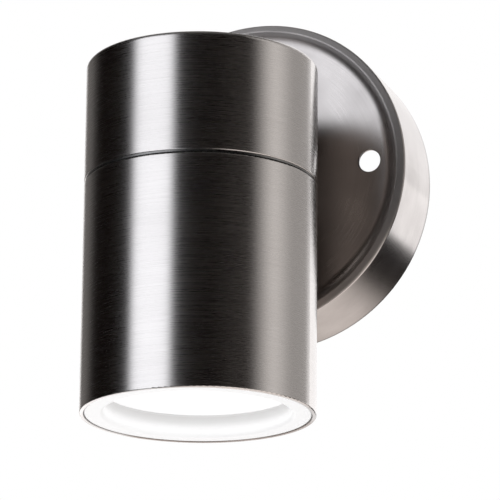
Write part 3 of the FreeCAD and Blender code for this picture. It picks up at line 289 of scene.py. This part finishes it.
def make_floor():
    """A round floor well below the light."""
    mesh = bpy.data.meshes.new("floor")
    rim = []
    for corner in range(FLOOR_CORNERS):
        angle = 2 * math.pi * corner / FLOOR_CORNERS
        rim.append((FLOOR_RADIUS * math.cos(angle), FLOOR_RADIUS * math.sin(angle), 0))
    mesh.from_pydata(rim, [], [range(FLOOR_CORNERS)])
    mesh.materials.append(floor_paper())
    floor = bpy.data.objects.new("floor", mesh)
    floor.location.z = -FLOOR_DROP
    floor.visible_glossy = False
    bpy.context.scene.collection.objects.link(floor)


KEY_POWER = 1.2
KEY_SIZE = 0.7
KEY_PLACE = Vector((-0.55, -0.95, 0.75))


def make_key_light():
    """One large soft lamp, up to the left in front. The metal doesn't reflect it."""
    data = bpy.data.lights.new("key", "AREA")
    data.size = KEY_SIZE
    data.energy = KEY_POWER
    light = bpy.data.objects.new("key", data)
    light.location = KEY_PLACE
    light.rotation_euler = (KEY_PLACE - TUBE_MIDDLE).to_track_quat("Z", "Y").to_euler()
    light.visible_glossy = False
    bpy.context.scene.collection.objects.link(light)


# Steel --------------------------------------------------------------------------------------------

# Painted shade where the tube faces the wall closely, this far behind its axis: browner and darker.
TUBE_BACK_START = 0.0115
TUBE_BACK_FULL = 0.018
TUBE_BACK_PAINTED_SHADE = tint(0.62, 0.55, 0.51)

# The wall plate: its flat face ends where its lip rises, at a distance from the plate's axis. The
# flank runs from the ridge of the lip back to the wall, where the sheet's cut edge stands. Lip and
# flank have factors on the roughness of the face.
LIP_START = 0.0392
LIP_FULL = 0.0404
FLANK_START = -0.0226
FLANK_FULL = -0.0222
# Near the wall, on the sheet's cut edge, the colour is darkened: painted shade.
RIM_START = -0.0013
RIM_FULL = -0.0008
LIP_ROUGHNESS = 1.8
FLANK_ROUGHNESS = 0.5
RIM_PAINTED_SHADE = grey(0.5)

# The streaks are noise that changes far faster across the brushing than along it.
BRUSHING_FINENESS = 160.0
BRUSHING_SCALE = 55.0
SMUDGE_SCALE = 75.0
ROUGHNESS_SPREAD = 0.18
ACROSS_THE_BRUSHING = 0.25


def brushed_metal(
    name, light, dark, axis, centre, roughness=0.27, anisotropy=0.75, smudge=0.25, painted_shade_zones=None
):
    """Metal brushed in circles about an axis through a centre: streaks in tone, sheen and relief.

    smudge is the share of broad clouds in the tone. painted_shade_zones paints shade into the
    colour and changes the roughness from place to place.
    """
    material, tree = new_material(name)
    place = tree.place(centre)
    if axis == "Z":
        along = tree.vector("MULTIPLY", place, (1, 1, 0))
        across = tree.split(place)["Z"]
    else:
        along = tree.vector("MULTIPLY", place, (1, 0, 1))
        across = tree.math("ADD", tree.length(along), tree.split(place)["Y"])
    rise = tree.math("MULTIPLY", across, BRUSHING_FINENESS)
    shift = tree.node("ShaderNodeCombineXYZ", {"Z": rise}).outputs[0]
    fine = tree.noise(tree.vector("ADD", along, shift), BRUSHING_SCALE, detail=4.0, roughness=0.7)
    broad = tree.noise(place, SMUDGE_SCALE, detail=3.0)
    tone = tree.blend(fine, broad, smudge)
    colour = tree.mix(tree.spread(tone, 0.0, 1.0), dark, light)
    dull, glossy = roughness * (1 + ROUGHNESS_SPREAD), roughness * (1 - ROUGHNESS_SPREAD)
    sheen = tree.spread(tone, dull, glossy)
    # Painted shade by place on the object, and for the plate its roughness.
    if painted_shade_zones:
        colour, sheen = painted_shade_zones(tree, place, colour, sheen)
    tree.principled(
        base_color=colour,
        metallic=1.0,
        roughness=sheen,
        anisotropic=anisotropy,
        anisotropic_rotation=ACROSS_THE_BRUSHING,
        normal=tree.bump(fine, strength=0.025, depth=0.00001),
        tangent=tree.node("ShaderNodeTangent", direction_type="RADIAL", axis=axis).outputs[0],
    )
    return material


def tube_painted_shade(tree, place, colour, sheen):
    """Painted shade: darker and browner at the back of the tube."""
    back = tree.step(tree.split(place)["Y"], TUBE_BACK_START, TUBE_BACK_FULL)
    colour = tree.vector("MULTIPLY", colour, tree.mix(back, grey(1.0), TUBE_BACK_PAINTED_SHADE))
    return colour, sheen


def plate_shade_and_roughness(tree, place, colour, sheen):
    """A duller lip, a glossier flank and painted shade on the sheet's cut edge at the wall."""
    depth = tree.split(place)["Y"]
    radius = tree.length(tree.vector("MULTIPLY", place, (1, 0, 1)))
    beyond_face = tree.step(radius, LIP_START, LIP_FULL)
    outer = tree.remap(depth, FLANK_START, FLANK_FULL, LIP_ROUGHNESS, FLANK_ROUGHNESS, smooth=True)
    factor = tree.math("MULTIPLY_ADD", tree.math("SUBTRACT", outer, 1.0), beyond_face, 1.0)
    # Painted shade on the cut edge where it meets the wall.
    rim = tree.step(depth, RIM_START, RIM_FULL)
    colour = tree.vector("MULTIPLY", colour, tree.mix(rim, grey(1.0), RIM_PAINTED_SHADE))
    return colour, tree.math("MULTIPLY", sheen, factor)


# Other metals -------------------------------------------------------------------------------------

METAL_GRAIN = 900.0
METAL_CLOUDS = METAL_GRAIN / 12


def plain_metal(name, light, dark, roughness):
    """Plated or turned metal with a fine uneven tone."""
    material, tree = new_material(name)
    place = tree.place()
    fine = tree.noise(place, METAL_GRAIN, detail=3.0)
    broad = tree.noise(place, METAL_CLOUDS)
    tone = tree.blend(fine, broad, 0.5)
    tree.principled(
        base_color=tree.mix(tree.spread(tone, 0.0, 1.0, half=0.15), dark, light),
        metallic=1.0,
        roughness=tree.spread(tone, roughness * 1.2, roughness * 0.8, half=0.15),
        normal=tree.bump(fine, strength=0.1, depth=0.00003),
    )
    return material


# How dark the collar is in the seam, and how far below the seam its shade begins.
SEAM_SHADE = 0.3
SEAM_SHADE_DROP = 0.0006


def collar_metal(name, light, dark):
    """Turned metal that lies in shade at the level where it shows in the seam of the tube."""
    material, tree = new_material(name)
    place = tree.place()
    start, full = TUBE_SEAM - SEAM_SHADE_DROP, TUBE_SEAM - SEAM_SHADE_DROP / 2
    shade = tree.remap(tree.split(place)["Z"], start, full, 1.0, SEAM_SHADE)
    grain = tree.noise(place, scale=1500.0, detail=3.0)
    tree.principled(
        base_color=tree.vector("SCALE", tree.mix(grain, dark, light), shade),
        metallic=1.0,
        roughness=tree.spread(grain, 0.24, 0.34),
        normal=tree.bump(grain, strength=0.1, depth=0.00002),
    )
    return material


# Plastic, rubber, ceramic and glass ---------------------------------------------------------------

MOULDED_GRAIN = 1200.0
MOULDED_CLOUDS = MOULDED_GRAIN / 30


def moulded(name, light, dark, roughness, relief_strength=0.15, **more):
    """Plastic, rubber or ceramic with a fine moulded grain. more feeds other sockets."""
    material, tree = new_material(name)
    place = tree.place()
    grain = tree.noise(place, MOULDED_GRAIN, detail=3.0)
    cloud = tree.noise(place, MOULDED_CLOUDS)
    tree.principled(
        base_color=tree.mix(tree.spread(cloud, 0.0, 1.0, half=0.15), dark, light),
        roughness=tree.spread(grain, roughness * 0.85, roughness * 1.15),
        normal=tree.bump(grain, relief_strength, depth=0.00004),
        **more,
    )
    return material


def striped_insulation():
    """Green and yellow insulation: stripes along the wire, found from which way its surface faces."""
    material, tree = new_material("green_yellow_insulation")
    facing = tree.node("ShaderNodeNewGeometry").outputs["Normal"]
    side = tree.vector("DOT_PRODUCT", facing, (0.0, 1.0, 0.0), out="Value")
    stripe = tree.step(tree.math("ABSOLUTE", side), 0.55, 0.62)
    tree.principled(
        base_color=tree.mix(stripe, tint(0.05, 0.36, 0.08), tint(0.85, 0.72, 0.05)),
        roughness=tree.spread(tree.noise(tree.place(), scale=1500.0), 0.32, 0.42),
    )
    return material


# The bezel's shade begins this far above the tube's mouth, where its glow is full.
MOUTH_EDGE = 0.0012
MOUTH_GLOW = 0.16


def bezel_moulding():
    """White moulding that glows faintly at the mouth and falls into shade up towards the lens."""
    material, tree = new_material("white_moulding")
    place = tree.place()
    depth = tree.step(tree.split(place)["Z"], TUBE_BOTTOM + MOUTH_EDGE, LENS_FACE)
    grain = tree.noise(place, MOULDED_GRAIN, detail=3.0)
    cloud = tree.noise(place, scale=60.0)
    white = tree.mix(cloud, tint(0.95, 0.948, 0.95), tint(0.93, 0.928, 0.935))
    tree.principled(
        base_color=tree.mix(depth, white, tint(0.74, 0.735, 0.73)),
        roughness=tree.spread(grain, 0.38, 0.5),
        emission_color=grey(1.0),
        emission_strength=tree.remap(depth, 0.0, 0.6, MOUTH_GLOW, 0.0),
        normal=tree.bump(grain, strength=0.08, depth=0.00004),
    )
    return material


LENS_GLOW = 0.42
LENS_RIM_GLOW = 0.36
LENS_GLOW_RADII = (0.012, 0.026)


def opal_lens():
    """The frosted lens, lit from behind: brilliant white, a little weaker towards its rim."""
    material, tree = new_material("opal_glass")
    place = tree.place(TUBE_AXIS)
    away = tree.length(tree.vector("MULTIPLY", place, (1, 1, 0)))
    cloud = tree.noise(place, scale=60.0)
    frost = tree.noise(place, scale=2500.0)
    tree.principled(
        base_color=tree.mix(frost, grey(0.9), grey(0.96)),
        roughness=tree.spread(frost, 0.3, 0.45),
        emission_color=tree.mix(cloud, tint(1.0, 0.985, 0.97), tint(0.985, 0.98, 1.0)),
        emission_strength=tree.remap(away, *LENS_GLOW_RADII, LENS_GLOW, LENS_RIM_GLOW, smooth=True),
        normal=tree.bump(frost, strength=0.2, depth=0.00003),
    )
    return material


# Finishes -----------------------------------------------------------------------------------------


def tube_steel():
    light, dark = tint(0.65, 0.635, 0.63), tint(0.6, 0.585, 0.58)
    return brushed_metal("tube_steel", light, dark, "Z", TUBE_AXIS, painted_shade_zones=tube_painted_shade)


def plate_steel():
    return brushed_metal(
        "plate_steel",
        tint(0.57, 0.55, 0.545),
        tint(0.44, 0.42, 0.415),
        "Y",
        PLATE_AXIS,
        roughness=0.3,
        anisotropy=0.65,
        smudge=0.55,
        painted_shade_zones=plate_shade_and_roughness,
    )


ZINC = plain_metal("zinc_plate", tint(0.72, 0.73, 0.75), tint(0.56, 0.57, 0.6), 0.34)
BRASS = plain_metal("brass", tint(0.83, 0.64, 0.3), tint(0.68, 0.5, 0.22), 0.28)
NICKEL = plain_metal("bright_nickel", tint(0.82, 0.81, 0.79), tint(0.72, 0.71, 0.69), 0.14)
SPRING = plain_metal("spring_steel", grey(0.42), grey(0.3), 0.3)
SPACER = brushed_metal("turned_spacer", grey(0.74), grey(0.62), "Y", PLATE_AXIS, roughness=0.3)
COLLAR = collar_metal("collar_metal", grey(0.8), grey(0.68))
TURNED = plain_metal("turned_metal", grey(0.8), grey(0.68), 0.28)
ROD = plain_metal("rod_metal", tint(0.74, 0.75, 0.77), tint(0.6, 0.61, 0.64), 0.3)
BLACK_RUBBER = moulded("black_rubber", grey(0.035), grey(0.022), 0.62, relief_strength=0.3)
GREY_RUBBER = moulded("grey_rubber", grey(0.3), grey(0.24), 0.6, relief_strength=0.25)
SILICONE = moulded("white_silicone", grey(0.85), grey(0.8), 0.5)
NYLON = moulded("natural_nylon", tint(0.85, 0.83, 0.76), tint(0.78, 0.76, 0.69), 0.42)
CERAMIC = moulded(
    "glazed_ceramic", tint(0.9, 0.885, 0.84), tint(0.83, 0.815, 0.77), 0.18, coat_weight=0.6
)
LAMP_SHELL = moulded("lamp_shell", grey(0.86), grey(0.8), 0.3)
LAMP_BASE = moulded("lamp_base", grey(0.92), grey(0.87), 0.34)
DIFFUSER = moulded(
    "lamp_diffuser", grey(0.9), grey(0.85), 0.3, emission_color=grey(1.0), emission_strength=0.35
)
BOARD = moulded("circuit_board", grey(0.9), grey(0.85), 0.3)
PHOSPHOR = moulded("led_phosphor", tint(0.95, 0.82, 0.25), tint(0.9, 0.72, 0.16), 0.25)
BROWN = moulded("brown_insulation", tint(0.26, 0.11, 0.045), tint(0.2, 0.08, 0.03), 0.36)
BLUE = moulded("blue_insulation", tint(0.06, 0.2, 0.6), tint(0.045, 0.15, 0.48), 0.36)

FINISHES = (
    (plate_steel(), ["wall_plate"]),
    (tube_steel(), ["upper_housing", "lower_housing"]),
    (SPACER, ["arm_spacer"]),
    (ZINC, ["saddle_washer", "plate_lock_washer", "housing_lock_washer"]),
    (ZINC, ["plate_lock_nut", "housing_lock_nut"]),
    (ZINC, ["block_screws", "terminal_screws", "lampholder_screws"]),
    (ZINC, ["terminal_strip", "holder_bracket"]),
    (BRASS, ["terminal_clamps", "earth_screw", "earth_tag", "holder_contacts"]),
    (NICKEL, ["lamp_pins"]),
    (SPRING, ["lens_clip"]),
    (BLACK_RUBBER, ["wall_gasket", "arm_seal"]),
    (GREY_RUBBER, ["seal_ring"]),
    (SILICONE, ["lens_gasket"]),
    (NYLON, ["nipple_bushes", "slip_washer", "terminal_block"]),
    (CERAMIC, ["lampholder_base", "lampholder_cover"]),
    (bezel_moulding(), ["lens_bezel"]),
    (opal_lens(), ["lens_glass"]),
    (LAMP_SHELL, ["lamp_body"]),
    (LAMP_BASE, ["lamp_base"]),
    (DIFFUSER, ["lamp_lens"]),
    (BOARD, ["led_board"]),
    (PHOSPHOR, ["led_chips"]),
    (BROWN, ["live_wire"]),
    (BLUE, ["neutral_wire"]),
    (striped_insulation(), ["earth_wire"]),
)


def dress_nodes():
    for material, names in FINISHES:
        for name in names:
            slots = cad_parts[name].data.materials
            slots.clear()
            slots.append(material)


# Threads ------------------------------------------------------------------------------------------

# The collar, the insert and the nipple get their threads here. Sizes of their sections:
TUBE_PITCH = 0.0015
TUBE_THREAD = 0.0006
TUBE_THREAD_RADIUS = 0.0272
THREAD_CLEARANCE = 0.00006
COLLAR_BORE = 0.0257
COLLAR_PLUG = 0.029
COLLAR_FLANGE = 0.0005
CHAMFER = 0.0004
ROD_PITCH = 0.001
ROD_THREAD = 0.00055
ROD_BORE = 0.0036

# The share of a pitch over which a crest is flat. A root is flat over as much.
THREAD_FLAT = 0.14
ROWS_PER_PITCH = 12
TUBE_COLUMNS = 180
ROD_COLUMNS = 72
SHARP_EDGE = math.radians(38)


def thread_cut(turn, level, low, high, pitch):
    """The share of its full depth that a right-hand thread has at a part of a turn and a level.

    It runs out over one pitch at the lowest and the highest level.
    """
    slope = abs(2.0 * ((level / pitch - turn) % 1.0) - 1.0)
    crest = min(max((slope - THREAD_FLAT) / (1.0 - 2 * THREAD_FLAT), 0.0), 1.0)
    run_out = min((level - low) / pitch, (high - level) / pitch, 1.0)
    return (1.0 - crest) * run_out


def section_rows(profile, threaded, pitch):
    """The section's corners, with rows between that divide the threaded face.

    A row is its radius, its level and the two ends of the thread, or None at a corner.
    """
    rows = []
    for i, (radius, level) in enumerate(profile):
        rows.append((radius, level, None))
        if i == threaded:
            end = profile[i + 1][1]
            steps = round(abs(end - level) / pitch * ROWS_PER_PITCH)
            ends = (min(level, end), max(level, end))
            rows += [(radius, level + (end - level) * step / steps, ends) for step in range(1, steps)]
    return rows


def threaded_ring(
    name, profile, threaded, pitch, depth, columns, material, axis="Z", centre=TUBE_AXIS
):
    """A turned ring with a thread cut in the face that starts at one corner of its section.

    profile is the section's corners as (radius, level), from the bottom outwards, up and back in.
    A positive depth cuts towards the axis.
    """
    rows = section_rows(profile, threaded, pitch)
    points, faces = [], []
    for row, (radius, level, ends) in enumerate(rows):
        for column in range(columns):
            turn = column / columns
            away = radius - depth * thread_cut(turn, level, *ends, pitch) if ends else radius
            along, across = away * math.cos(2 * math.pi * turn), away * math.sin(2 * math.pi * turn)
            point = (along, across, level) if axis == "Z" else (along, level, -across)
            points.append(centre + Vector(point))
            here, there = row * columns, (row + 1) % len(rows) * columns
            beside = (column + 1) % columns
            faces.append((here + column, here + beside, there + beside, there + column))
    mesh = bpy.data.meshes.new(name)
    mesh.from_pydata(points, [], faces)
    mesh.shade_smooth()
    mesh.set_sharp_from_angle(angle=SHARP_EDGE)
    mesh.materials.append(material)
    ring = bpy.data.objects.new(name, mesh)
    bpy.context.scene.collection.objects.link(ring)
    return ring


def make_collar():
    low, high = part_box("threaded_collar")
    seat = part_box("upper_housing")[0].z
    profile = [
        (COLLAR_BORE, low.z),
        (TUBE_THREAD_RADIUS - CHAMFER, low.z),
        (TUBE_THREAD_RADIUS, low.z + CHAMFER),
        (TUBE_THREAD_RADIUS, seat - COLLAR_FLANGE),
        (high.x, seat - COLLAR_FLANGE),
        (high.x, seat),
        (COLLAR_PLUG, seat),
        (COLLAR_PLUG, high.z - CHAMFER),
        (COLLAR_PLUG - CHAMFER, high.z),
        (COLLAR_BORE, high.z),
    ]
    outside = 2
    ring = threaded_ring(
        "collar_thread", profile, outside, TUBE_PITCH, TUBE_THREAD, TUBE_COLUMNS, COLLAR
    )
    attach(ring, "root")
    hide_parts("threaded_collar")


def make_insert():
    low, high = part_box("threaded_insert")
    bore = TUBE_THREAD_RADIUS + THREAD_CLEARANCE
    profile = [
        (bore + CHAMFER, low.z),
        (high.x - CHAMFER, low.z),
        (high.x, low.z + CHAMFER),
        (high.x, high.z),
        (bore, high.z),
        (bore, low.z + CHAMFER),
    ]
    inside = 4
    ring = threaded_ring(
        "insert_thread", profile, inside, TUBE_PITCH, -TUBE_THREAD, TUBE_COLUMNS, TURNED
    )
    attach(ring, "lower")
    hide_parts("threaded_insert")


def make_nipple():
    low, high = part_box("nipple")
    profile = [(ROD_BORE, low.y), (high.x, low.y), (high.x, high.y), (ROD_BORE, high.y)]
    outside = 1
    rod = threaded_ring(
        "nipple_thread", profile, outside, ROD_PITCH, ROD_THREAD, ROD_COLUMNS, ROD, "Y", PLATE_AXIS
    )
    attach(rod, "root")
    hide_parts("nipple")


# The scene ----------------------------------------------------------------------------------------

make_camera()
make_world()
make_floor()
make_key_light()
dress_nodes()
make_collar()
make_insert()
make_nipple()

bpy.context.scene.view_settings.view_transform = "Standard"
